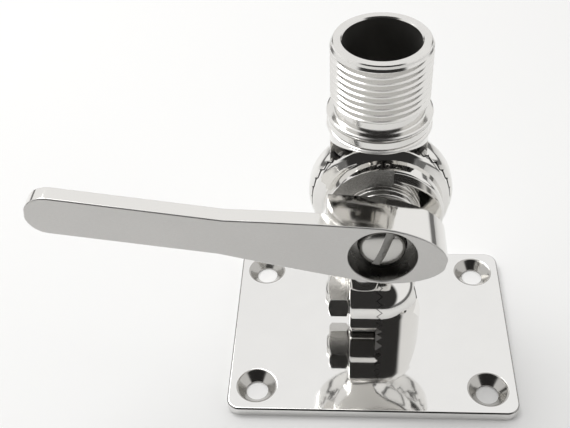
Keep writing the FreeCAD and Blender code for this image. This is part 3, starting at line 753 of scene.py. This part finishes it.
tip_u = ARM_REACH - ARM_HALF
stations = [HUB_MIDDLE - (NOSE_REACH + HUB_MIDDLE) * cos(radians(a))
            for a in (9, 16, 23, 30, 38, 46, 54, 62, 71, 80, 90)]
stations += [HUB_MIDDLE + (ARM_TAPER_END - HUB_MIDDLE) * k / 10 for k in range(1, 11)]
stations += [ARM_TAPER_END + (tip_u - ARM_TAPER_END) * k / 4 for k in range(1, 5)]
stations += [tip_u + ARM_HALF * sin(radians(a)) for a in (15, 30, 42, 54, 66, 78)]

bpy.ops.object.select_all(action="DESELECT")
bpy.ops.mesh.primitive_plane_add(size=1.0, rotation=(0, pi / 2, 0))
lever = bpy.context.object
bpy.ops.object.transform_apply(location=False, rotation=True)
bpy.ops.object.mode_set(mode="EDIT")
bpy.ops.mesh.select_all(action="SELECT")
u, half = stations[0], lever_half_width(stations[0])
bpy.ops.transform.resize(value=(1, (LEVER_BACK - LEVER_FRONT) * MM, 2 * half * MM),
                         center_override=(0, 0, 0))
bpy.ops.transform.translate(value=(-u * MM, (LEVER_FRONT + LEVER_BACK) / 2 * MM, 0))
for next_u in stations[1:]:
    next_half = lever_half_width(next_u)
    bpy.ops.mesh.extrude_region_move(TRANSFORM_OT_translate={"value": ((u - next_u) * MM, 0, 0)})
    bpy.ops.transform.resize(value=(1, 1, next_half / half), center_override=(0, 0, 0))
    u, half = next_u, next_half
face_outwards()
combine(lever, block(100, (-HUB_REACH - 50, LEVER_FRONT + ARM_T + 50, 0)))
lever.rotation_euler.y = radians(LEVER_RISE_DEG)
lever.location = (FOLD_X * MM, 0, FOLD_Z * MM)
bpy.ops.object.transform_apply(location=True, rotation=True)
lever.name = lever.data.name = "lever"
apply_modifier(lever, "BEVEL", width=0.75 * MM, segments=4, limit_method="ANGLE", angle_limit=radians(50))
recess = [(LEVER_FRONT - 1, RECESS_R + 0.9), (LEVER_FRONT + 0.3, RECESS_R), (RECESS_FLOOR, RECESS_R - 0.1)]
chamber = [(RECESS_FLOOR - 2, CHAMBER_R), (LEDGE_Y, CHAMBER_R)]
socket = [(-14, SHANK_HOLE_R), (SOCKET_Y, SHANK_HOLE_R), (SOCKET_Y + 0.01, SOCKET_R),
          (LEVER_BACK + 1, SOCKET_R)]
for name, corners, around in (("recess", recess, 96), ("chamber", chamber, 64), ("socket", socket, 64)):
    combine(lever, turned(name, [(y - FOLD_Y, r) for y, r in corners], fold_centre, "Y", around))
soften(lever, 0.15, angle=38)
stands_for(lever, "lever_handle", "lever", "lever_satin", satin_lever, recess_painted_shade)
# Painted shade on the recess's walls and floor.
refinish(lever, 1, lambda x, y, z, normal: hypot(x - FOLD_X, z - FOLD_Z) < RECESS_R + 0.1
         and y > LEVER_FRONT + 0.7 and normal.y < 0.5)


# ---- Cap screw -----------------------------------------------------------------------
# The slotted screw in the lever's recess, turned from stainless bar with a low domed
# head. It is driven into the clamping nut and holds the lever's spring down.

CAP_R, CAP_EDGE, CAP_APEX = 6.2, -17.4, -19.4
SLOT_W, SLOT_DEPTH, SLOT_LEAN_DEG = 2.1, 1.5, 18.0
SCREW_R, SCREW_END_Y = 2.5, -10.8

screw_steel = polished_steel("screw_steel", (0.56, 0.55, 0.53), 0.20, 0.9)
dome = [(CAP_APEX + (CAP_EDGE - CAP_APEX) * (1 - cos(radians(a))), CAP_R * sin(radians(a)))
        for a in (6, 14, 24, 34, 44, 54, 64, 74, 82, 90)]
foot = [(RECESS_FLOOR - 0.25, CAP_R), (RECESS_FLOOR - 0.02, CAP_R - 0.25), (RECESS_FLOOR, SCREW_R),
        (SCREW_END_Y, SCREW_R)]
screw = turned("cap_screw", [(y - FOLD_Y, r) for y, r in dome + foot], fold_centre, "Y", 96)
slot_tool = block(1 / MM, (0, 0, 0))
slot_tool.scale = (SLOT_W * MM, 4 * MM, 16 * MM)
slot_tool.rotation_euler.y = radians(SLOT_LEAN_DEG)
slot_tool.location = (FOLD_X * MM, (CAP_APEX + SLOT_DEPTH - 2) * MM, FOLD_Z * MM)
bpy.ops.object.transform_apply(location=True, rotation=True, scale=True)
combine(screw, slot_tool)
soften(screw, 0.12, angle=40)
stands_for(screw, "lever_screw", "clamp", "screw_steel", screw_steel, recess_painted_shade)
slot_floor = CAP_APEX + SLOT_DEPTH
# Painted shade on the slot's floor.
refinish(screw, 1, lambda x, y, z, normal: abs(y - slot_floor) < 0.05 and normal.y < -0.9)


# ---- Nut and bolts -------------------------------------------------------------------
# M8 stainless hardware, forged and bright: the tilt bolt with its nut on the left, and
# the clamping bolt whose head sits in the head casting's back.

HEX_ACROSS, HEAD_HEIGHT, CROWN, SHANK_R = 13.0, 5.3, 0.75, 4.0
forged_steel = polished_steel("forged_steel", (0.70, 0.69, 0.67), 0.13, 0.16)


def chamfered_hexagon(name, near, far, centre_yz, axis, crown_ends, turn_deg=0):
    """A hexagon bar cut to length, its corners turned off where crown_ends says (near, far)."""
    length = far - near
    centre = (near, *centre_yz) if axis == "X" else (centre_yz[0], near, centre_yz[1])
    obj = hexagon(name, HEX_ACROSS, length, centre, axis, turn_deg)
    corner_r, flat_r = HEX_ACROSS / 2 / cos(pi / 6) + 0.05, HEX_ACROSS / 2 - 0.1
    start = [(0, flat_r), (CROWN, corner_r)] if crown_ends[0] else [(0, corner_r)]
    end = [(length - CROWN, corner_r), (length, flat_r)] if crown_ends[1] else [(length, corner_r)]
    combine(obj, turned("crown", start + end, centre, axis, 96), "INTERSECT")
    return obj


def m8_bolt(name, node, body, axis, centre):
    """A bolt with its head at the far end, as long as the frame's own."""
    along = "XYZ".index(axis)
    low, high = (c[along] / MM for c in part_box(node))
    across = [c for i, c in enumerate(centre) if i != along]
    bolt = chamfered_hexagon(name, high - HEAD_HEIGHT, high, across, axis, (False, True))
    low, high = low - centre[along], high - centre[along]
    shank = [(low, SHANK_R - 0.8), (low + 0.8, SHANK_R), (high - 4, SHANK_R)]
    combine(bolt, turned("shank", shank, centre, axis, 64), "UNION")
    soften(bolt, 0.12, angle=28)
    stands_for(bolt, node, body, "bolt_steel", forged_steel)


nut_low, nut_high = (c[0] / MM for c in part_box("tilt_nut"))
nut = chamfered_hexagon("tilt_nut_m8", nut_low, nut_high, (TILT_Y, TILT_Z), "X", (True, True), 30)
combine(nut, turned("drill", [(-30, TAPPED_R), (0, TAPPED_R)], tilt_centre, "X", 48))
soften(nut, 0.12, angle=28)
stands_for(nut, "tilt_nut", "base", "bolt_steel", forged_steel)

m8_bolt("tilt_bolt_m8", "tilt_bolt", "base", "X", tilt_centre)
m8_bolt("fold_bolt_m8", "fold_stud", "head", "Y", fold_centre)


# ---- Lever spring --------------------------------------------------------------------
# A short spring coiled from square stainless wire round the cap screw's shank. It pushes
# the lever back on to the clamping nut. The real spring shortens when the lever is pulled out; this coil is
# built rigid, on the clamp's body.

SPRING_R, SPRING_WIRE, SPRING_TURNS, SPRING_SHORTEST = 4.9, 0.6, 2.5, 0.38
spring_low, spring_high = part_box("lever_spring")
spring_rise = spring_high[1] - spring_low[1] - SPRING_WIRE * MM

bpy.ops.object.select_all(action="DESELECT")
bpy.ops.mesh.primitive_plane_add(size=SPRING_WIRE * MM, rotation=(pi / 2, 0, 0),
                                 location=(SPRING_R * MM, 0, SPRING_WIRE / 2 * MM))
spring = bpy.context.object
bpy.ops.object.transform_apply(location=True, rotation=True)
swept(spring, 2 * pi * SPRING_TURNS, spring_rise, 1, 160)
in_place(spring, "coil_spring", (FOLD_X, spring_low[1] / MM, FOLD_Z), "Y")
soften(spring, 0.06, angle=50, segments=1)
stands_for(spring, "lever_spring", "clamp", "spring_steel", bright_bar)
FOLD_X * MM
FOLD_Z * MM
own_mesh(spring)
